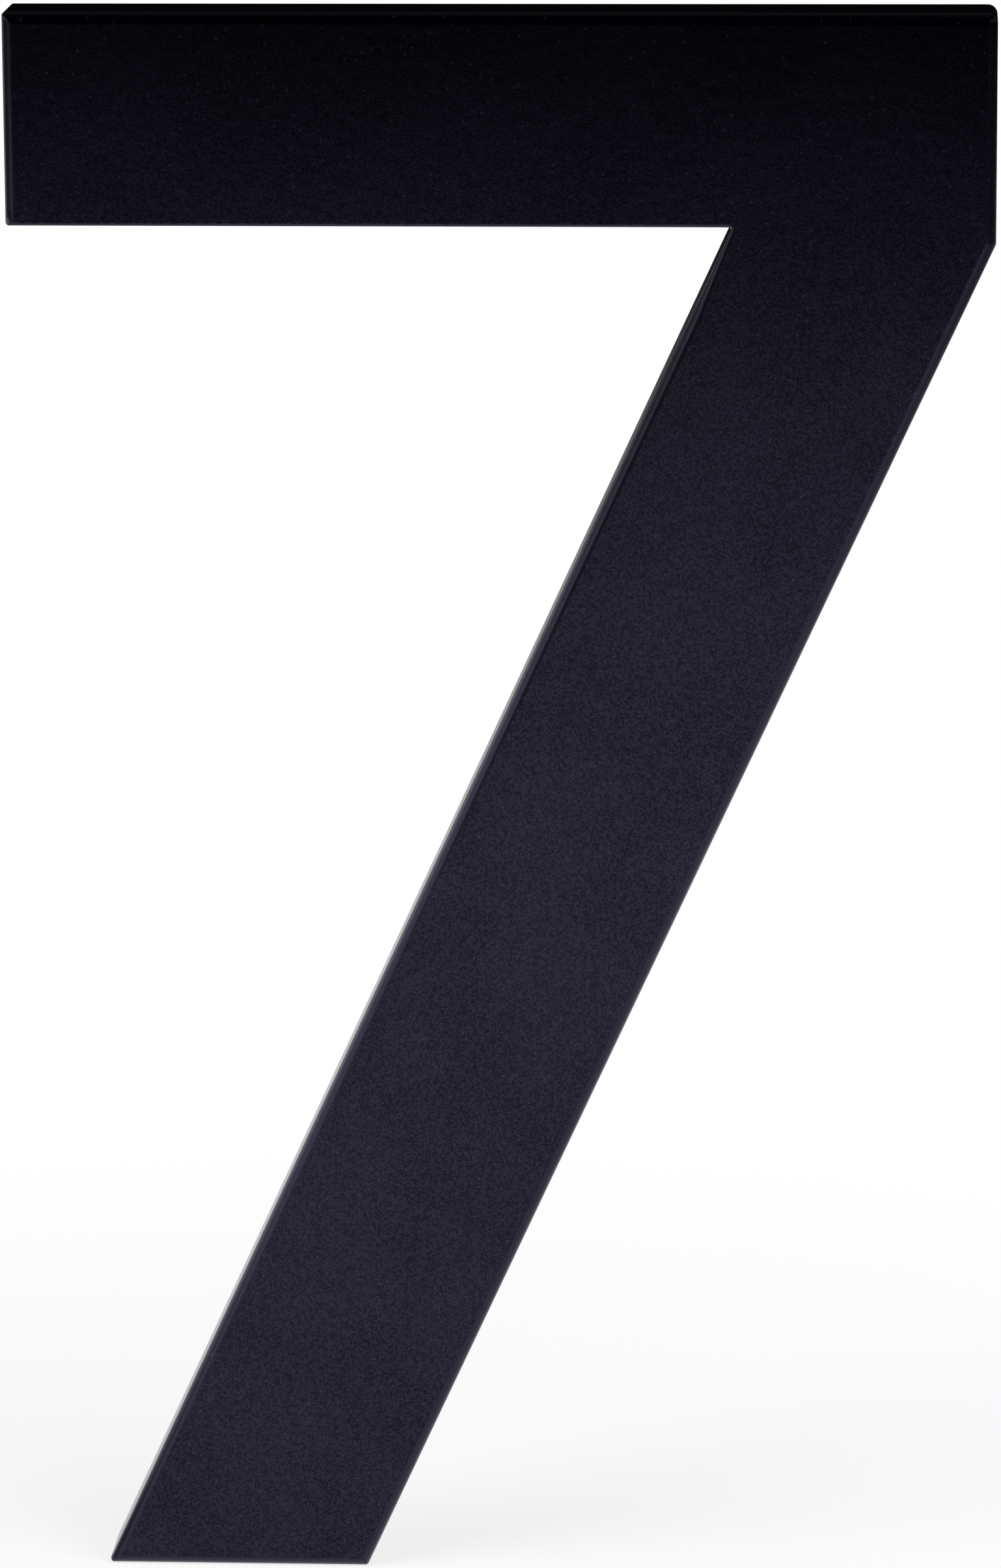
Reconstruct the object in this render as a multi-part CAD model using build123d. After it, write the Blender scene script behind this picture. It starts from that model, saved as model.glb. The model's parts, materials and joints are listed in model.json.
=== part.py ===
"""House number seven: one solid plate of coated metal, fixed from behind by two hidden studs.

The numeral stands upright, as on a wall. +X is the reader's right, +Z is up and the front looks
along -Y. The origin is on the flat back, midway between the two stud holes.
"""
import os
from math import cos, radians, tan

from build123d import *

# Form seen from the front, in millimetres and degrees
HEIGHT = 150.0          # foot to top edge
WIDTH = 92.0            # left end of the bar to its right end
THICKNESS = 8.0         # flat back to front face
BAR_HEIGHT = 19.8       # arm of the bar, from the top edge to its underside
HEAD_HEIGHT = 21.4      # upright right-hand end, from the top edge to where the leg's outer flank starts
LEG_WIDTH = 22.8        # leg, measured square across
LEG_LEAN = 24.8         # leg's slope away from upright

# Edges and corners
CORNER_ROUND = 0.35     # outer corners of the outline
HEAD_CORNER_ROUND = 0.9  # the two corners of the upright right-hand end
CROOK_ROUND = 0.2       # inner corner where the bar meets the leg
FRONT_EDGE_ROUND = 1.0  # rounded edge all round the front face
BACK_EDGE_BREAK = 0.2   # bevel all round the flat back

# Blind holes for two M4 studs, their threads left plain at the core diameter
STUD_CORE_DIAMETER = 3.3
STUD_HOLE_DEPTH = 5.5   # straight wall and mouth, without the drill's point
STUD_MOUTH_DIAMETER = 4.3
STUD_MOUTH_ANGLE = 90.0  # full angle of the countersink
DRILL_POINT_ANGLE = 118.0
LOWER_STUD_HEIGHT = 14.1  # above the foot

# Places worked out from those sizes, with the foot and the bar's left end at zero
lean_slope = tan(radians(LEG_LEAN))
leg_level_width = LEG_WIDTH / cos(radians(LEG_LEAN))
foot_right = WIDTH - (HEIGHT - HEAD_HEIGHT) * lean_slope
foot_left = foot_right - leg_level_width
underside = HEIGHT - BAR_HEIGHT
crook_x = foot_left + underside * lean_slope
upper_stud_height = HEIGHT - BAR_HEIGHT / 2
stud_line_x = foot_left + leg_level_width / 2 + LOWER_STUD_HEIGHT * lean_slope
stud_middle_height = (upper_stud_height + LOWER_STUD_HEIGHT) / 2


def in_frame(x: float, z: float) -> Vector:
    """Turns a place measured from the foot and the bar's left end into one measured from the origin."""
    return Vector(x - stud_line_x, z - stud_middle_height)


def round_corner(sketch: Sketch, corner: Vector, radius: float) -> Sketch:
    """Rounds the one corner of the outline that lies at the given place."""
    vertex = sketch.vertices().sort_by_distance(corner)[0]
    return fillet(vertex, radius)


def outline() -> Sketch:
    """Draws the seven's outline, a bar with a leaning leg, and rounds its corners."""
    top_left = in_frame(0, HEIGHT)
    top_right = in_frame(WIDTH, HEIGHT)
    head_bottom = in_frame(WIDTH, HEIGHT - HEAD_HEIGHT)
    foot_outer = in_frame(foot_right, 0)
    foot_inner = in_frame(foot_left, 0)
    crook = in_frame(crook_x, underside)
    bar_bottom = in_frame(0, underside)
    corners = [top_left, top_right, head_bottom, foot_outer, foot_inner, crook, bar_bottom]
    sketch = Sketch() + make_face(Polyline(*corners, close=True))
    for corner in (top_left, bar_bottom, foot_inner, foot_outer):
        sketch = round_corner(sketch, corner, CORNER_ROUND)
    for corner in (top_right, head_bottom):
        sketch = round_corner(sketch, corner, HEAD_CORNER_ROUND)
    return round_corner(sketch, crook, CROOK_ROUND)


def stud_hole() -> Part:
    """Turns the cutter for one blind hole: countersunk mouth, straight core and drilled point."""
    core = STUD_CORE_DIAMETER / 2
    mouth = STUD_MOUTH_DIAMETER / 2
    mouth_depth = (mouth - core) / tan(radians(STUD_MOUTH_ANGLE / 2))
    point_depth = core / tan(radians(DRILL_POINT_ANGLE / 2))
    profile = Polyline(
        (0, 0),
        (mouth, 0),
        (core, -mouth_depth),
        (core, -STUD_HOLE_DEPTH),
        (0, -STUD_HOLE_DEPTH - point_depth),
        close=True,
    )
    return revolve(make_face(profile), Axis.Y)


def number_seven() -> Part:
    """Cuts the outline from plate, rounds the front, bevels the back and drills the stud holes."""
    numeral = extrude(Plane.XZ * outline(), THICKNESS)
    front = numeral.faces().sort_by(Axis.Y)[0]
    numeral = fillet(front.edges(), FRONT_EDGE_ROUND)
    back = numeral.faces().sort_by(Axis.Y)[-1]
    numeral = chamfer(back.edges(), BACK_EDGE_BREAK)
    for height in (upper_stud_height, LOWER_STUD_HEIGHT):
        numeral -= Pos(0, 0, height - stud_middle_height) * stud_hole()
    return numeral


os.makedirs("parts", exist_ok=True)
export_step(number_seven(), "parts/number_seven.step")
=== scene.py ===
"""Looks of a matt black house number seven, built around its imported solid.

The numeral is one plate of metal under a fine-grained powder coat. Its skin is worked out here as one
closed surface: an edge section carried round the outline, flat faces inside it, and two tapped holes in
the back. Everything is in metres, in the solid's own frame: +Z up, front along -Y, back on the Y = 0 plane.
"""
import json
import logging
import math
from dataclasses import dataclass, field
from enum import Enum, auto
from typing import Any, Optional, Union

import bpy
import numpy as np
from mathutils import Matrix, Vector
from mathutils.geometry import delaunay_2d_cdt


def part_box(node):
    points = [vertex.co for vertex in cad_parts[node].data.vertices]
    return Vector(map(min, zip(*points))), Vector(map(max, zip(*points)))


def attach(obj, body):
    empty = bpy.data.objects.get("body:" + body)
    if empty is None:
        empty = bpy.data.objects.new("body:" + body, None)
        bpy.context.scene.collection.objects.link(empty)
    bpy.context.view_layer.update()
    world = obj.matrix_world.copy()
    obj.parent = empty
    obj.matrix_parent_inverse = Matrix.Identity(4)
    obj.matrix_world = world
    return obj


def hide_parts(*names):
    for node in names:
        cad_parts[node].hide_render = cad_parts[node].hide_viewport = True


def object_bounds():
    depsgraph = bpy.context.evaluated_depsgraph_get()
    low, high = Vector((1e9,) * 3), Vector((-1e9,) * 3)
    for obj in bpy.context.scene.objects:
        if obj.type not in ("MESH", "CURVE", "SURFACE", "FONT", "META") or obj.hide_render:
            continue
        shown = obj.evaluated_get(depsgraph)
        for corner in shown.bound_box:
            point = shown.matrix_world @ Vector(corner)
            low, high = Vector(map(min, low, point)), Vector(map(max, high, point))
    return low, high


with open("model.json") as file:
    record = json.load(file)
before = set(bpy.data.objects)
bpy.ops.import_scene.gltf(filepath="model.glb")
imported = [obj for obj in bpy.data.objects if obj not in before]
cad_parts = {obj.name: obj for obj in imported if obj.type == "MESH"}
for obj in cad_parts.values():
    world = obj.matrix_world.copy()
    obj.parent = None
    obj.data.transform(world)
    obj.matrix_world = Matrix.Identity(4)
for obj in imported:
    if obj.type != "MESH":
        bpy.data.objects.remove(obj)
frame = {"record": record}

LOG = logging.getLogger("number_seven")
CAD_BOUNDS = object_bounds()

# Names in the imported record
NODE = "number_seven"
STUD_MOUNT = "stud_holes"

# The photograph's frame, in pixels
PHOTO_WIDTH = 1538
PHOTO_HEIGHT = 2408

# The kind of Delaunay fill that leaves holes open, and how near two points merge, in millimetres
FILL_LESS_HOLES = 2
NEAR = 1e-5

MM = 0.001
NOISE_MIDDLE = 0.5
WHITE = (1.0, 1.0, 1.0)
BLACK = (0.0, 0.0, 0.0)

Colour = tuple[float, float, float]
Place = tuple[float, float, float]
Operand = Union["Value", float]


class Skin(Enum):
    """Which finish a face of the numeral wears, by its place in the mesh's list of materials."""

    COAT = 0
    BARE = 1


class Slope(Enum):
    """How a ramp goes from its low end to its high end, in Blender's words."""

    SMOOTH = "SMOOTHSTEP"
    STRAIGHT = "LINEAR"


class Corner(Enum):
    """The outline's corners, clockwise from the top left. Only the crook turns inwards."""

    TOP_LEFT = auto()
    TOP_RIGHT = auto()
    HEAD_BOTTOM = auto()
    FOOT_RIGHT = auto()
    FOOT_LEFT = auto()
    CROOK = auto()
    BAR_END = auto()


class Shader:
    """A material's or world's node tree, with one method that makes every node."""

    def __init__(self, tree: bpy.types.NodeTree) -> None:
        """Takes over a tree and empties it.

        Args:
            tree: the node tree of a material or of the world.
        """
        self.tree = tree
        self.tree.nodes.clear()

    @classmethod
    def of_material(cls, name: str) -> tuple[bpy.types.Material, "Shader"]:
        """Makes a material with an empty tree.

        Args:
            name: the material's name.

        Returns:
            The material and its shader.
        """
        made = bpy.data.materials.new(name)
        made.use_nodes = True
        return made, cls(made.node_tree)

    def node(self, kind: str, settings: Optional[dict[str, Any]] = None, **sockets: Any) -> bpy.types.Node:
        """Makes one node.

        Args:
            kind: Blender's name for the node's type.
            settings: properties of the node, set before its sockets.
            sockets: values or links by input name, with underscores for spaces, or in_0 for a number.

        Returns:
            The new node.
        """
        made = self.tree.nodes.new(kind)
        for name, value in (settings or {}).items():
            setattr(made, name, value)
        for name, value in sockets.items():
            self._feed(self._socket(made, name), value)
        return made

    def value(
        self, kind: str, output: str, settings: Optional[dict[str, Any]] = None, **sockets: Any
    ) -> "Value":
        """Makes a node as node() does and wraps one of its outputs for arithmetic."""
        return Value(self, self.node(kind, settings, **sockets).outputs[output])

    def mix(self, share: "Value", first: Colour, second: Colour) -> "Value":
        """Mixes two colours by a share from 0, the first, to 1, the second."""
        # A Mix node's colour sockets share their names with others, so they go by number
        made = self.node("ShaderNodeMix", {"data_type": "RGBA"}, in_0=share, in_6=first, in_7=second)
        return Value(self, made.outputs[2])

    def bump(self, height: "Value", depth: float, **under: "Value") -> "Value":
        """The normal of a surface that rises by depth as height goes from 0 to 1, over a Normal if given."""
        return self.value("ShaderNodeBump", "Normal", Strength=1.0, Distance=depth, Height=height, **under)

    def length(self, vector: "Value") -> "Value":
        """The length of a vector."""
        return self.value("ShaderNodeVectorMath", "Value", {"operation": "LENGTH"}, in_0=vector)

    @staticmethod
    def _socket(node: bpy.types.Node, name: str) -> bpy.types.NodeSocket:
        """Finds an input by its name, or by its number where several share one.

        Args:
            node: the node.
            name: the input's name as node() takes it.

        Returns:
            The input socket.
        """
        if name.startswith("in_"):
            return node.inputs[int(name[len("in_"):])]
        return node.inputs[name.replace("_", " ")]

    def _feed(self, socket: bpy.types.NodeSocket, value: Any) -> None:
        """Links a socket to a value, or sets it to a plain number or colour.

        Args:
            socket: an input socket.
            value: a value or an output socket to link, or a number or colour to set.
        """
        if isinstance(value, Value):
            value = value.socket
        if isinstance(value, bpy.types.NodeSocket):
            self.tree.links.new(value, socket)
        elif socket.type == "RGBA":
            socket.default_value = (*value, 1.0)
        else:
            socket.default_value = value


class Value:
    """What a node gives off. Arithmetic on it, where it is a number, adds Math nodes."""

    def __init__(self, shader: Shader, socket: bpy.types.NodeSocket) -> None:
        """Wraps an output socket of one of the shader's nodes."""
        self.shader = shader
        self.socket = socket

    def __add__(self, other: Operand) -> "Value":
        """This value plus another."""
        return self._math("ADD", self, other)

    __radd__ = __add__

    def __sub__(self, other: Operand) -> "Value":
        """This value less another."""
        return self._math("SUBTRACT", self, other)

    def __rsub__(self, other: float) -> "Value":
        """A number less this value."""
        return self._math("SUBTRACT", other, self)

    def __mul__(self, other: Operand) -> "Value":
        """This value times another."""
        return self._math("MULTIPLY", self, other)

    __rmul__ = __mul__

    def either(self, other: "Value") -> "Value":
        """The greater of this value and another, which joins two masks."""
        return self._math("MAXIMUM", self, other)

    def ramp(self, low: float, high: float, slope: Slope = Slope.SMOOTH) -> "Value":
        """Rises from 0 at low to 1 at high. It falls instead where low is the greater.

        Args:
            low: where the ramp is 0.
            high: where it is 1.
            slope: how it goes from one to the other.

        Returns:
            The ramp's value.
        """
        rises = low < high
        return self.shader.value(
            "ShaderNodeMapRange",
            "Result",
            {"interpolation_type": slope.value},
            Value=self,
            From_Min=min(low, high),
            From_Max=max(low, high),
            To_Min=0.0 if rises else 1.0,
            To_Max=1.0 if rises else 0.0,
        )

    def _math(self, operation: str, first: Operand, second: Operand) -> "Value":
        """Adds one Math node for two numbers or values."""
        return self.shader.value("ShaderNodeMath", "Value", {"operation": operation}, in_0=first, in_1=second)


@dataclass(frozen=True)
class BlackCoat:
    """Black powder coat: a fine dull grain, a slow clouding and sparse bright flakes.

    Its sheen is bluish where it is looked at squarely and neutral at a glancing angle. On the front and the
    back the grain and the clouding take some of that sheen away. The edge between them keeps all of it.
    """

    colour: Colour = (0.0002, 0.0002, 0.0009)
    sheen: Colour = (0.61, 0.555, 0.92)
    sheen_level: float = 0.6

    # Roughness on the faces and on the edge, which starts and is complete at these depths below a face
    roughness: float = 0.13
    roughness_spread: float = 0.06
    edge_roughness: float = 0.2
    edge_from: float = 0.0005 * MM
    edge_to: float = 0.03 * MM

    # Grain, clouding and orange peel, and the levels of noise between which the coat goes from shiny to dull
    grain_size: float = 0.18 * MM
    grain_depth: float = 0.003 * MM
    grain_dullness: float = 0.5
    grain_detail: float = 2.0
    cloud_size: float = 13.0 * MM
    cloud_dullness: float = 0.08
    cloud_detail: float = 1.0
    peel_size: float = 1.6 * MM
    peel_depth: float = 0.006 * MM
    peel_detail: float = 1.0
    noise_roughness: float = 0.55
    dull_from: float = 0.38
    dull_to: float = 0.62

    # Flakes, which are fully bright over the given share of their radius
    flake_spacing: float = 1.05 * MM
    flake_radius: float = 0.12 * MM
    flake_core: float = 0.5
    flake_colour: Colour = (0.045, 0.043, 0.056)

    def material(self, front: float, back: float) -> bpy.types.Material:
        """Makes the coat's material.

        Args:
            front: where the front face lies along Y.
            back: where the back lies along Y.

        Returns:
            A material on Object coordinates.
        """
        made, shader = Shader.of_material("black_powder_coat")
        place = shader.value("ShaderNodeTexCoord", "Object")
        grain = self._noise(shader, place, self.grain_size, self.grain_detail)
        peel = self._noise(shader, place, self.peel_size, self.peel_detail)
        cloud = self._noise(shader, place, self.cloud_size, self.cloud_detail)
        flakes = self._flakes(shader, place)
        edge = self._edge(shader, place, front, back)
        dull_grain = grain.ramp(self.dull_from, self.dull_to) * self.grain_dullness
        dull = dull_grain + cloud.ramp(self.dull_from, self.dull_to) * self.cloud_dullness
        uneven = (grain - NOISE_MIDDLE) * self.roughness_spread
        dress = shader.node(
            "ShaderNodeBsdfPrincipled",
            Base_Color=shader.mix(flakes, self.colour, self.flake_colour),
            # Metal of the coat's own black reflects next to nothing, so it makes the coat dull
            Metallic=flakes + (1 - flakes) * dull * (1 - edge),
            Roughness=uneven + edge * (self.edge_roughness - self.roughness) + self.roughness,
            Specular_IOR_Level=self.sheen_level,
            Specular_Tint=self.sheen,
            Normal=shader.bump(peel, self.peel_depth, Normal=shader.bump(grain, self.grain_depth)),
        )
        shader.node("ShaderNodeOutputMaterial", Surface=dress.outputs["BSDF"])
        return made

    def _noise(self, shader: Shader, place: Value, size: float, detail: float) -> Value:
        """Soft noise from 0 to 1.

        Args:
            shader: the coat's shader.
            place: the coordinates that it reads.
            size: how large its features are, about.
            detail: how many finer layers it has.

        Returns:
            The noise.
        """
        return shader.value(
            "ShaderNodeTexNoise",
            "Fac",
            Vector=place,
            Scale=1.0 / size,
            Detail=detail,
            Roughness=self.noise_roughness,
        )

    def _flakes(self, shader: Shader, place: Value) -> Value:
        """1 inside small balls scattered through space, which the surface cuts as dots, and else 0.

        Args:
            shader: the coat's shader.
            place: the coordinates that it reads.

        Returns:
            The mask.
        """
        distance = shader.value(
            "ShaderNodeTexVoronoi", "Distance", Vector=place, Scale=1.0 / self.flake_spacing
        )
        reach = self.flake_radius / self.flake_spacing
        return distance.ramp(reach, reach * self.flake_core)

    def _edge(self, shader: Shader, place: Value, front: float, back: float) -> Value:
        """1 between the front and the back, and 0 on them.

        Args:
            shader: the coat's shader.
            place: the coordinates that it reads.
            front: where the front face lies along Y.
            back: where the back lies along Y.

        Returns:
            The mask.
        """
        depth = shader.value("ShaderNodeSeparateXYZ", "Y", Vector=place)
        behind_front = depth.ramp(front + self.edge_from, front + self.edge_to)
        return behind_front * depth.ramp(back - self.edge_from, back - self.edge_to)


@dataclass(frozen=True)
class BareMetal:
    """Freshly tapped aluminium, left bare inside the stud holes."""

    colour: Colour = (0.62, 0.63, 0.65)
    roughness: float = 0.32
    roughness_spread: float = 0.2
    tool_mark_size: float = 0.08 * MM
    tool_mark_depth: float = 0.003 * MM

    def material(self) -> bpy.types.Material:
        """Makes the bare metal's material, with fine tool marks.

        Returns:
            A material on Object coordinates.
        """
        made, shader = Shader.of_material("tapped_aluminium")
        place = shader.value("ShaderNodeTexCoord", "Object")
        marks = shader.value("ShaderNodeTexNoise", "Fac", Vector=place, Scale=1.0 / self.tool_mark_size)
        dress = shader.node(
            "ShaderNodeBsdfPrincipled",
            Base_Color=self.colour,
            Metallic=1.0,
            Roughness=(marks - NOISE_MIDDLE) * self.roughness_spread + self.roughness,
            Normal=shader.bump(marks, self.tool_mark_depth),
        )
        shader.node("ShaderNodeOutputMaterial", Surface=dress.outputs["BSDF"])
        return made


@dataclass
class Shell:
    """Vertices and faces of a surface as they are gathered, with a finish for each face."""

    points: list[np.ndarray] = field(default_factory=list)
    faces: list[list[int]] = field(default_factory=list)
    skins: list[int] = field(default_factory=list)
    count: int = 0

    def add_points(self, points: np.ndarray) -> np.ndarray:
        """Adds points and returns their numbers, in the shape of the grid they came in.

        Args:
            points: an array whose last axis is x, y, z.

        Returns:
            The new vertex numbers, without that last axis.
        """
        shape = points.shape[:-1]
        numbers = np.arange(self.count, self.count + math.prod(shape)).reshape(shape)
        self.points.append(points.reshape(-1, 3))
        self.count += numbers.size
        return numbers

    def add_rings(self, rings: np.ndarray, skin: Skin) -> None:
        """Joins each closed ring to the next by a band of four-sided faces.

        Args:
            rings: a row of vertex numbers for each ring.
            skin: the faces' finish.
        """
        here, there = rings[:-1], rings[1:]
        after_here, after_there = np.roll(here, -1, axis=1), np.roll(there, -1, axis=1)
        band = np.stack([here, there, after_there, after_here], axis=-1).reshape(-1, 4)
        self._add_faces(band, skin)

    def add_fan(self, ring: np.ndarray, tip: int, skin: Skin) -> None:
        """Closes a ring with triangles to one tip."""
        fan = np.stack([ring, np.full_like(ring, tip), np.roll(ring, -1)], axis=-1)
        self._add_faces(fan, skin)

    def add_flat(self, loops: list[np.ndarray], outward: Vector, skin: Skin) -> None:
        """Fills an outline that lies square to Y, less its holes, with triangles that face the given way.

        The fill is the Delaunay triangulation of the loops' points, seen along Y in millimetres.

        Args:
            loops: vertex numbers of the outline, and then of each hole.
            outward: the way that the faces look.
            skin: their finish.
        """
        places = np.concatenate(self.points)
        numbers = np.concatenate(loops)
        ends = np.cumsum([len(loop) for loop in loops])
        borders = [list(range(end - len(loop), end)) for loop, end in zip(loops, ends)]
        seen = [Vector((x / MM, z / MM)) for x, _, z in places[numbers]]
        _, _, filled, sources, _, _ = delaunay_2d_cdt(seen, [], borders, FILL_LESS_HOLES, NEAR)
        triangles = numbers[np.array([source[0] for source in sources])[np.array(filled)]]
        corners = places[triangles]
        turn = np.cross(corners[:, 1] - corners[:, 0], corners[:, 2] - corners[:, 0])
        wrong = turn @ np.array(outward) < 0
        triangles[wrong] = triangles[wrong][:, ::-1]
        self._add_faces(triangles, skin)

    def _add_faces(self, faces: np.ndarray, skin: Skin) -> None:
        """Keeps faces and the finish that they wear."""
        self.faces.extend(faces.tolist())
        self.skins.extend([skin.value] * len(faces))

    def piece(self, name: str, crease: float) -> bpy.types.Object:
        """Makes the object.

        Args:
            name: its name.
            crease: the angle in degrees past which an edge is sharp.

        Returns:
            A new mesh object at the origin.
        """
        mesh = bpy.data.meshes.new(name)
        mesh.from_pydata(np.concatenate(self.points), [], self.faces)
        mesh.polygons.foreach_set("material_index", np.array(self.skins, dtype=np.int32))
        mesh.polygons.foreach_set("use_smooth", np.ones(len(self.faces), dtype=bool))
        mesh.set_sharp_from_angle(angle=math.radians(crease))
        mesh.validate()
        mesh.update()
        piece = bpy.data.objects.new(name, mesh)
        bpy.context.scene.collection.objects.link(piece)
        return piece


@dataclass
class Outline:
    """The seven seen from the front: a bar with a leaning leg, and rounded corners.

    The lean is in degrees from upright. A corner that is drawn in keeps at least the least rounding.
    """

    left: float
    top: float
    width: float
    height: float
    bar_height: float = 19.8 * MM
    head_height: float = 21.4 * MM
    leg_width: float = 22.8 * MM
    leg_lean: float = 24.8
    corner_round: float = 0.35 * MM
    head_corner_round: float = 0.9 * MM
    crook_round: float = 0.2 * MM
    least_round: float = 0.2 * MM
    corner_steps: int = 10
    side_steps: int = 16

    def corners(self) -> tuple[np.ndarray, np.ndarray]:
        """Works out the seven corners.

        Returns:
            The sharp corners as x and z, and each corner's radius, which is negative at the crook.
        """
        slope = math.tan(math.radians(self.leg_lean))
        level_leg = self.leg_width / math.cos(math.radians(self.leg_lean))
        right, foot = self.left + self.width, self.top - self.height
        head_bottom, underside = self.top - self.head_height, self.top - self.bar_height
        foot_right = right - (head_bottom - foot) * slope
        foot_left = foot_right - level_leg
        places = {
            Corner.TOP_LEFT: (self.left, self.top),
            Corner.TOP_RIGHT: (right, self.top),
            Corner.HEAD_BOTTOM: (right, head_bottom),
            Corner.FOOT_RIGHT: (foot_right, foot),
            Corner.FOOT_LEFT: (foot_left, foot),
            Corner.CROOK: (foot_left + (underside - foot) * slope, underside),
            Corner.BAR_END: (self.left, underside),
        }
        radii = dict.fromkeys(Corner, self.corner_round)
        radii[Corner.TOP_RIGHT] = self.head_corner_round
        radii[Corner.HEAD_BOTTOM] = self.head_corner_round
        radii[Corner.CROOK] = -self.crook_round
        return np.array([places[corner] for corner in Corner]), np.array([radii[corner] for corner in Corner])

    def rings(self, inset_before: np.ndarray, inset_after: np.ndarray) -> np.ndarray:
        """The outline drawn in, ring by ring, by the insets of the two sides at each corner.

        A corner is an arc of radius p round V - M(p + d, p + e), whose normal swings from one side's to the
        next. V is the sharp corner, d and e are the insets of its two sides, and M(a, b) is the step that
        goes a in from the first side and b in from the second: M = ((a - bc) n + (b - ac) m) / (1 - cc),
        where n and m are the sides' outward normals and c is their product. p is what the insets leave of
        the corner's own radius, and at least a small rounding.

        Each side keeps the inset that it starts with and takes the next corner's on its last step.

        Args:
            inset_before: a row for each ring, with the inset of the side that leads to each corner.
            inset_after: the same for the side that leaves each corner.

        Returns:
            An array of rings, each of x and z points, with the sides divided into steps.
        """
        places, radii = self.corners()
        ahead = np.roll(places, -1, axis=0) - places
        ahead /= np.linalg.norm(ahead, axis=1, keepdims=True)
        after = self._square_to(ahead)
        before = np.roll(after, 1, axis=0)
        cosine = (before * after).sum(axis=1)
        left_over = radii - np.maximum(inset_before, inset_after)
        radius = np.where(radii > 0, np.maximum(left_over, self.least_round), left_over)
        first, second = inset_before + radius, inset_after + radius
        along_before = (first - second * cosine)[..., None] * before
        along_after = (second - first * cosine)[..., None] * after
        centre = places - (along_before + along_after) / (1 - cosine**2)[:, None]
        arcs = centre[:, :, None] + radius[..., None, None] * self._swing(before, after)
        share = np.linspace(0, 1, self.side_steps, endpoint=False)[1:]
        start, end = arcs[:, :, -1:], np.roll(arcs, -1, axis=1)[:, :, :1]
        length = ((end - start) * ahead[:, None]).sum(axis=-1, keepdims=True)
        sides = start + ahead[:, None] * length * share[:, None]
        return np.concatenate([arcs, sides], axis=2).reshape(len(inset_before), -1, 2)

    def spread(self, before: np.ndarray, after: np.ndarray) -> np.ndarray:
        """A measure at each point of the rings, from what it is on the two sides of each corner.

        Along an arc it goes evenly from one to the other, and along a side it stays, as the insets do.

        Args:
            before: a row for each ring, with the measure on the side that leads to each corner.
            after: the same for the side that leaves each corner.

        Returns:
            A row for each ring, with the measure at each of its points.
        """
        share = np.linspace(0, 1, self.corner_steps)
        arcs = before[..., None] + (after - before)[..., None] * share
        sides = np.repeat(after[..., None], self.side_steps - 1, axis=-1)
        return np.concatenate([arcs, sides], axis=-1).reshape(len(before), -1)

    @staticmethod
    def _square_to(ways: np.ndarray) -> np.ndarray:
        """Flat directions turned a quarter turn to the left."""
        return np.stack([-ways[:, 1], ways[:, 0]], axis=1)

    def _swing(self, before: np.ndarray, after: np.ndarray) -> np.ndarray:
        """Normals along each corner's arc, turned evenly from one side's normal to the next side's.

        Args:
            before: the outward normal of the side that leads to each corner.
            after: that of the side that leaves it.

        Returns:
            For each corner a row of normals, one for each step of its arc.
        """
        left = self._square_to(before)
        turn = np.arctan2((left * after).sum(axis=1), (before * after).sum(axis=1))
        angle = (turn[:, None] * np.linspace(0, 1, self.corner_steps))[..., None]
        return before[:, None] * np.cos(angle) + left[:, None] * np.sin(angle)


@dataclass
class EdgeSection:
    """The plate's edge cut through: bevelled back, straight wall and rounded front."""

    thickness: float
    back_break: float = 0.2 * MM
    front_round: float = 1.0 * MM
    round_steps: int = 20
    guard: float = 0.06 * MM

    def lines(self, radius: float) -> np.ndarray:
        """Works out the section's lines for one radius of its front rounding.

        The rounding is a quarter circle: at the turn t its line lies r (1 - cos t) in from the outline and
        r (1 - sin t) behind the front face. A guard line beside each bend keeps the shading of the flats
        even.

        Args:
            radius: the front rounding's radius.

        Returns:
            A row for each line, from the back to the front: how far in from the outline it lies, and how
            far behind the front face.
        """
        turn = np.linspace(0, math.pi / 2, self.round_steps)
        bevel_top = self.thickness - self.back_break
        wall = [
            (self.back_break + self.guard, self.thickness),
            (self.back_break, self.thickness),
            (0.0, bevel_top),
            (0.0, bevel_top - self.guard),
            (0.0, radius + self.guard),
        ]
        rounding = radius * (1 - np.stack([np.cos(turn), np.sin(turn)], axis=1))
        return np.concatenate([wall, rounding, [(radius + self.guard, 0.0)]])


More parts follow.
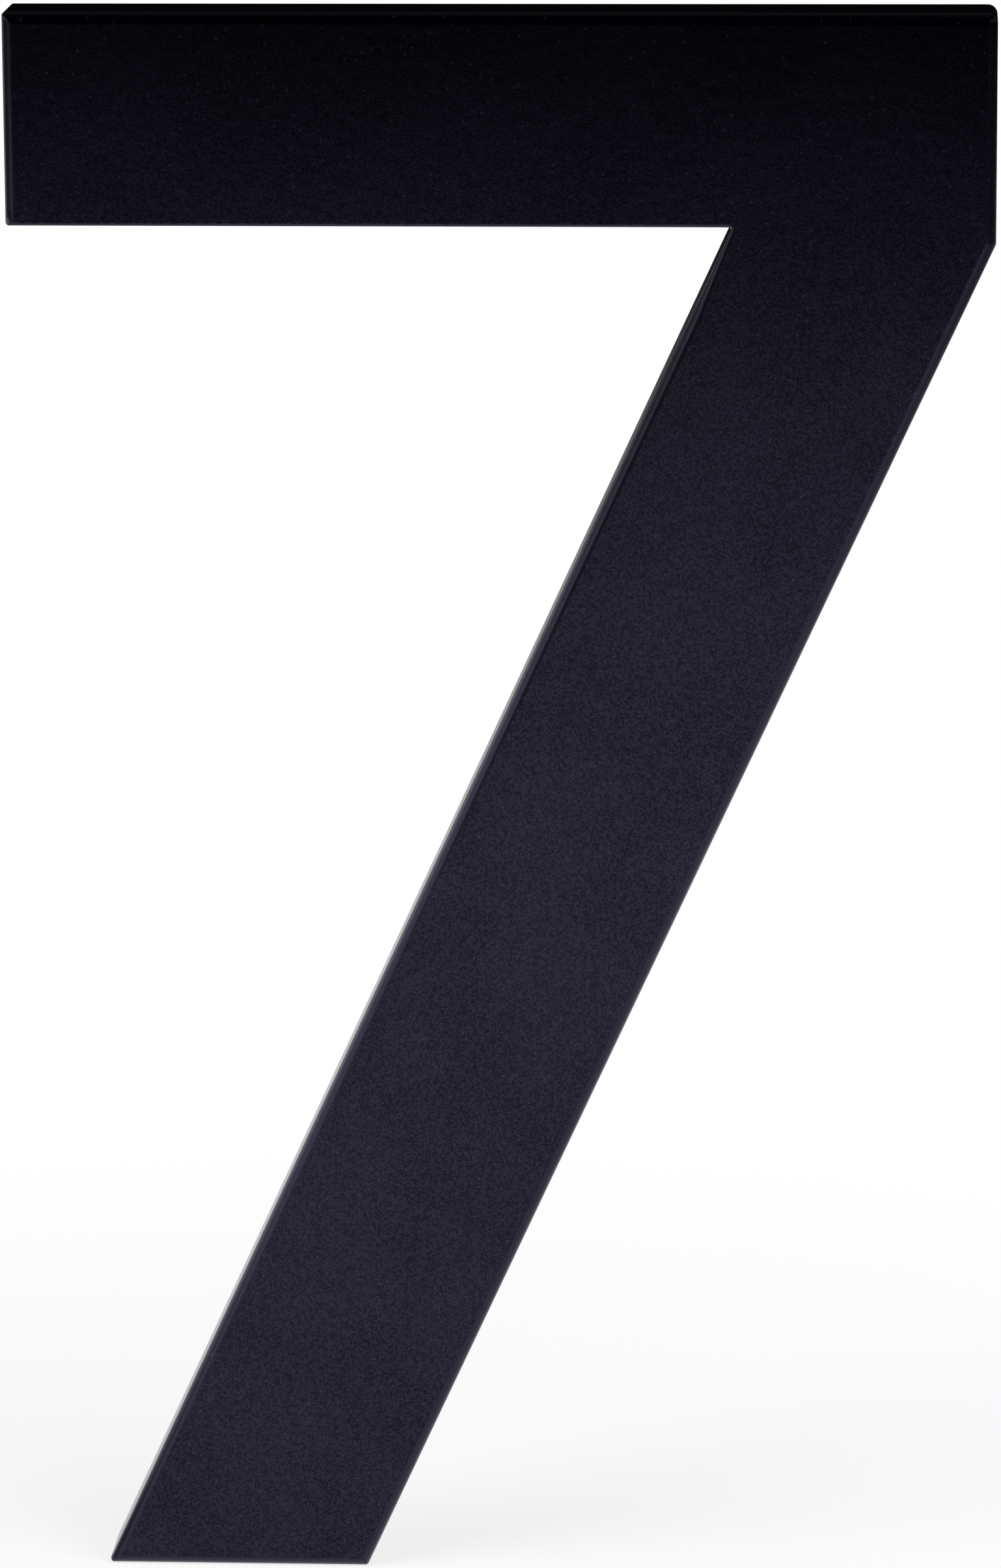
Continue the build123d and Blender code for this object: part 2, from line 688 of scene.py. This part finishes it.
@dataclass
class StudHole:
    """A blind hole tapped for a stud: countersunk mouth, thread and drilled point.

    The thread's flats are shares of its pitch. The coat reaches the given share of the way down the mouth.
    """

    x: float
    z: float
    core: float
    major: float = 2.0 * MM
    mouth: float = 2.15 * MM
    pitch: float = 0.7 * MM
    core_flat: float = 0.125
    root_flat: float = 0.25
    depth: float = 5.5 * MM
    thread_depth: float = 4.9 * MM
    point_angle: float = 118.0
    coated_share: float = 0.5
    columns: int = 72
    rows_per_turn: int = 24

    def add_to(self, shell: Shell) -> np.ndarray:
        """Adds the hole's walls.

        Args:
            shell: the surface that the hole opens into.

        Returns:
            The vertex numbers of its mouth on the flat back.
        """
        angle = np.linspace(0, math.tau, self.columns, endpoint=False)
        deep, around = np.meshgrid(self._row_depths(), angle, indexing="ij")
        radius = self._radius(deep, around)
        wall = np.stack(
            [self.x + radius * np.cos(around), -deep, self.z + radius * np.sin(around)], axis=-1
        )
        rings = shell.add_points(wall)
        point_depth = self.depth + self.core / math.tan(math.radians(self.point_angle / 2))
        tip = shell.add_points(np.array([[self.x, -point_depth, self.z]]))[0]
        shell.add_rings(rings[:2], Skin.COAT)
        shell.add_rings(rings[1:], Skin.BARE)
        shell.add_fan(rings[-1], int(tip), Skin.BARE)
        return rings[0]

    def _row_depths(self) -> np.ndarray:
        """Depths of the rows of vertices.

        Returns:
            The mouth's depth, those of the thread's turns, and that of the plain core below them.
        """
        coated = (self.mouth - self.core) * self.coated_share
        turns = self.thread_depth / self.pitch
        thread = np.linspace(coated, self.thread_depth, int(turns * self.rows_per_turn))
        return np.concatenate([[0.0], thread, [self.depth]])

    def _radius(self, deep: np.ndarray, around: np.ndarray) -> np.ndarray:
        """Distance of the wall from the hole's axis.

        The thread is a triangle wave of the depth, less the turn round the axis, cut flat at the core and
        at its full depth. It runs out towards its lower end, and the countersink opens whatever is left.

        Args:
            deep: depth below the back.
            around: angle round the axis, in radians.

        Returns:
            The radius at each place.
        """
        phase = np.mod(deep / self.pitch - around / math.tau, 1.0)
        flank = 1 - self.core_flat - self.root_flat
        wave = np.clip((np.abs(2 * phase - 1) - self.core_flat) / flank, 0, 1)
        run_out = np.clip((self.thread_depth - deep) / self.pitch, 0, 1)
        thread = self.core + (self.major - self.core) * wave * run_out
        return np.maximum(thread, self.mouth - deep)


@dataclass
class NumberSeven:
    """The numeral: its outline, its edge and its two stud holes."""

    outline: Outline
    edge: EdgeSection
    holes: list[StudHole]
    front: float
    back: float
    crisp_round: float = 0.3 * MM
    crease: float = 25.0

    @classmethod
    def from_frame(cls, record: dict[str, Any]) -> "NumberSeven":
        """Takes the overall sizes and the holes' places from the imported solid.

        Args:
            record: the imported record.

        Returns:
            The numeral, ready to build.
        """
        low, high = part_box(NODE)
        outline = Outline(left=low.x, top=high.z, width=high.x - low.x, height=high.z - low.z)
        mount = next(m for m in record["mounts"] if m["name"] == STUD_MOUNT)
        middle = Vector(mount["pos_m"])
        half = mount["dims"]["spacing_y_mm"] * MM / 2
        core = mount["dims"]["hole_r_mm"] * MM
        holes = [StudHole(x=middle.x, z=middle.z + offset, core=core) for offset in (half, -half)]
        return cls(outline, EdgeSection(thickness=high.y - low.y), holes, front=low.y, back=high.y)

    def build(self) -> bpy.types.Object:
        """Builds the closed surface and puts it in the solid's place.

        Returns:
            The numeral's object.
        """
        shell = Shell()
        rings = shell.add_points(self._skin())
        shell.add_rings(rings, Skin.COAT)
        mouths = [hole.add_to(shell) for hole in self.holes]
        shell.add_flat([rings[-1]], Vector((0, -1, 0)), Skin.COAT)
        shell.add_flat([rings[0], *mouths], Vector((0, 1, 0)), Skin.COAT)
        piece = shell.piece("numeral", self.crease)
        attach(piece, "root")
        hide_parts(NODE)
        return piece

    def dress(self, piece: bpy.types.Object, coat: BlackCoat, metal: BareMetal) -> None:
        """Gives the numeral its coat, and its holes their bare metal."""
        piece.data.materials.append(coat.material(self.front, self.back))
        piece.data.materials.append(metal.material())

    def _skin(self) -> np.ndarray:
        """Carries the edge's section round the outline.

        Returns:
            A ring of points for each line of the section, from the back to the front.
        """
        before = dict.fromkeys(Corner, self.edge.front_round)
        after = dict.fromkeys(Corner, self.edge.front_round)
        # The bar's underside has a crisper edge, which runs out up the leg's inner side beyond the crook
        before[Corner.CROOK] = self.crisp_round
        after[Corner.CROOK] = self.crisp_round
        before[Corner.BAR_END] = self.crisp_round
        inset_before, depth_before = self._section(before)
        inset_after, depth_after = self._section(after)
        flat = self.outline.rings(inset_before, inset_after)
        depth = self.front + self.outline.spread(depth_before, depth_after)
        return np.stack([flat[..., 0], depth, flat[..., 1]], axis=-1)

    def _section(self, radii: dict[Corner, float]) -> np.ndarray:
        """The edge's insets and depths, each with a row for each line, from the rounding at each corner."""
        return np.stack([self.edge.lines(radii[corner]).T for corner in Corner], axis=-1)


@dataclass(frozen=True)
class Lamp:
    """A soft rectangular lamp that looks at a point. One that doesn't gleam lights without a reflection."""

    name: str
    place: Place
    aim: Place
    size: tuple[float, float]
    power: float
    gleam: bool = True

    def build(self) -> bpy.types.Object:
        """Hangs the lamp.

        Returns:
            The lamp's object.
        """
        data = bpy.data.lights.new(self.name, "AREA")
        data.shape = "RECTANGLE"
        data.size, data.size_y = self.size
        data.energy = self.power
        lamp = bpy.data.objects.new(self.name, data)
        lamp.location = self.place
        lamp.visible_glossy = self.gleam
        lamp.rotation_euler = (Vector(self.aim) - Vector(self.place)).to_track_quat("-Z", "Y").to_euler()
        bpy.context.scene.collection.objects.link(lamp)
        return lamp


@dataclass(frozen=True)
class Floor:
    """A pale table top that the numeral stands on. In reflections it shows a painted pool of light, which
    dims away from the numeral, and a painted shadow on its right.
    """

    level: float
    colour: Colour = (0.86, 0.86, 0.86)
    reach_front: float = 1.3
    reach_back: float = 1.0
    reach_side: float = 1.5

    # In reflections, a painted pool of light: how far off the floor starts to dim, how far off it is dark,
    # and how that is measured
    bright_to: float = 0.38
    dark_from: float = 1.09
    widen: float = 0.95
    lean: float = 0.17
    lean_within: float = 0.35

    # A painted shadow on its right-hand side, also in reflections alone
    shade_from: float = 0.14
    shade_to: float = 0.26
    shade_slant: float = 0.14
    shade_depth: float = 0.7

    # How much of the numeral's shadow shows, and where that fades into plain white
    shadow_share: float = 0.25
    fade_from: float = 0.06
    fade_to: float = 0.18

    def build(self) -> bpy.types.Object:
        """Lays the table top, which isn't part of the object.

        Returns:
            The floor's object.
        """
        mesh = bpy.data.meshes.new("floor")
        xs, ys = (-self.reach_side, self.reach_side), (-self.reach_front, self.reach_back)
        mesh.from_pydata([(x, y, self.level) for y in ys for x in xs], [], [(0, 1, 3, 2)])
        floor = bpy.data.objects.new("floor", mesh)
        bpy.context.scene.collection.objects.link(floor)
        mesh.materials.append(self._material())
        return floor

    def _material(self) -> bpy.types.Material:
        """Pale and matt, and plain white where it is seen away from the object and its shadow. In reflections
        that white carries a painted pool of light and a painted shadow.

        Returns:
            A material on Object coordinates.
        """
        made, shader = Shader.of_material("pale_table")
        place = shader.value("ShaderNodeTexCoord", "Object")
        path = shader.node("ShaderNodeLightPath").outputs
        reflected = Value(shader, path["Is Glossy Ray"])
        seen = Value(shader, path["Is Camera Ray"]).either(reflected)
        seen = seen.either(Value(shader, path["Is Transmission Ray"]))
        plain = 1 - shader.length(place).ramp(self.fade_to, self.fade_from) * self.shadow_share
        # In reflections the white dims by a painted pool of light and a painted shadow
        shade = shader.mix(self._painted_light_and_shadow(shader, place) * reflected, WHITE, BLACK)
        matt = shader.node("ShaderNodeBsdfDiffuse", Color=self.colour)
        white = shader.node("ShaderNodeEmission", Color=shade, Strength=1.0)
        shown = shader.node(
            "ShaderNodeMixShader", in_0=plain * seen, in_1=matt.outputs[0], in_2=white.outputs[0]
        )
        shader.node("ShaderNodeOutputMaterial", Surface=shown.outputs[0])
        return made

    def _painted_light_and_shadow(self, shader: Shader, place: Value) -> Value:
        """How dark the floor is in a reflection, from 0 to 1: a painted falloff of light and a painted
        shadow.

        It grows evenly with the distance from the numeral, as a painted falloff of light. That is the length
        of (x / widen, y + lean w), where w goes from 0 in the middle to 1 at lean_within on the left, so the
        front left stays brighter.
        Past a slanted line on the right, a painted shadow, the dimness is at least the shade's depth.

        Args:
            shader: the floor's shader.
            place: the coordinates that it reads.

        Returns:
            The dimness.
        """
        axes = shader.node("ShaderNodeSeparateXYZ", Vector=place).outputs
        across, along = Value(shader, axes["X"]), Value(shader, axes["Y"])
        # Painted falloff of light: the floor dims with distance, less so at the front left
        forward = along + across.ramp(0.0, -self.lean_within, Slope.STRAIGHT) * self.lean
        lit = shader.value("ShaderNodeCombineXYZ", "Vector", X=across * (1.0 / self.widen), Y=forward)
        far = shader.length(lit).ramp(self.bright_to, self.dark_from, Slope.STRAIGHT)
        # A painted shadow on the floor's right-hand side
        aside = across + along * self.shade_slant
        return far.either(aside.ramp(self.shade_from, self.shade_to, Slope.STRAIGHT) * self.shade_depth)


@dataclass(frozen=True)
class View:
    """The photograph's camera: where it looks, from which way, how far off and how long its lens is.

    Its angles are in degrees, and its sensor is in millimetres.
    """

    aim: Place = (18.88 * MM, 0.0, -1.46 * MM)
    azimuth: float = 3.337
    elevation: float = 12.552
    roll: float = -0.3377
    distance: float = 722.0 * MM
    focal_pixels: float = 11656.0
    sensor: float = 36.0

    def build(self) -> bpy.types.Object:
        """Sets up the camera and makes it the scene's.

        Returns:
            The camera's object.
        """
        turn, rise = math.radians(self.azimuth), math.radians(self.elevation)
        back = Vector((math.sin(turn) * math.cos(rise), -math.cos(turn) * math.cos(rise), math.sin(rise)))
        data = bpy.data.cameras.new("photo_view")
        data.sensor_width = self.sensor
        data.lens = self.sensor * self.focal_pixels / max(PHOTO_WIDTH, PHOTO_HEIGHT)
        camera = bpy.data.objects.new("photo_view", data)
        facing = (-back).to_track_quat("-Z", "Y").to_matrix().to_4x4()
        tilt = Matrix.Rotation(math.radians(self.roll), 4, "Z")
        camera.matrix_world = Matrix.Translation(Vector(self.aim) + back * self.distance) @ facing @ tilt
        bpy.context.scene.collection.objects.link(camera)
        bpy.context.scene.camera = camera
        return camera


@dataclass(frozen=True)
class Studio:
    """Floor, lamps, surroundings and camera."""

    floor_level: float
    gloom: Colour = (0.001, 0.001, 0.001)
    lamps: tuple[Lamp, ...] = (
        # Main lamps, which light the scene without a reflection of their own
        Lamp("left_lamp", (-0.80, -0.60, 0.85), (0.0, -0.15, -0.07), (0.9, 0.9), 14.0, gleam=False),
        Lamp("right_lamp", (0.90, -0.60, 0.85), (0.0, -0.15, -0.07), (0.9, 0.9), 14.0, gleam=False),
        # Dim panels, so that the walls and the back also show from other sides
        Lamp("left_fill", (-0.85, -0.64, 0.65), (0.0, 0.0, 0.0), (1.0, 0.8), 0.6),
        Lamp("right_fill", (0.95, -0.64, 0.65), (0.0, 0.0, 0.0), (1.0, 0.8), 0.6),
        Lamp("left_side", (-0.95, 0.42, 0.60), (0.0, 0.0, 0.0), (1.2, 0.5), 0.47),
        Lamp("right_side", (0.98, 0.42, 0.42), (0.0, 0.0, 0.0), (1.2, 0.5), 0.23),
        Lamp("back_fill", (0.0, 1.00, 0.70), (0.0, 0.0, 0.07), (2.0, 0.6), 0.17),
        # Cards and hazes that the leg's inner side and the rounded edges reflect
        Lamp("left_card", (-1.30, -0.35, 0.205), (0.0, -0.35, 0.205), (2.6, 0.27), 3.35),
        Lamp("back_card", (-0.42, 0.36, 0.02), (0.02, 0.0, 0.02), (0.5, 0.19), 0.17),
        Lamp("low_card", (-0.27, -0.29, -0.04), (0.0, 0.0, -0.04), (0.2, 0.07), 0.05),
        Lamp("front_haze", (-0.57, -1.42, -0.012), (0.0, 0.0, -0.012), (0.6, 0.125), 0.095),
        Lamp("left_haze", (-1.06, -1.10, 0.14), (0.0, 0.0, 0.14), (0.6, 0.22), 0.12),
        Lamp("ceiling", (0.0, 0.3, 1.0), (0.0, 0.0, 0.0), (1.0, 0.7), 0.1),
    )

    def build(self) -> None:
        """Sets the whole stage."""
        bpy.context.scene.view_settings.view_transform = "Standard"
        Floor(self.floor_level).build()
        for lamp in self.lamps:
            lamp.build()
        self._surroundings()
        View().build()

    def _surroundings(self) -> None:
        """A dim room that is white only to the camera."""
        world = bpy.data.worlds.new("studio")
        world.use_nodes = True
        bpy.context.scene.world = world
        shader = Shader(world.node_tree)
        seen = shader.value("ShaderNodeLightPath", "Is Camera Ray")
        light = shader.node(
            "ShaderNodeBackground", Color=shader.mix(seen, self.gloom, WHITE), Strength=1.0
        )
        shader.node("ShaderNodeOutputWorld", Surface=light.outputs[0])


def main() -> None:
    """Builds the numeral, dresses it and sets the stage."""
    logging.basicConfig(level=logging.INFO)
    seven = NumberSeven.from_frame(frame["record"])
    piece = seven.build()
    seven.dress(piece, BlackCoat(), BareMetal())
    LOG.info("%s has %d faces", piece.name, len(piece.data.polygons))
    Studio(floor_level=CAD_BOUNDS[0].z).build()


if __name__ == "__main__":
    main()
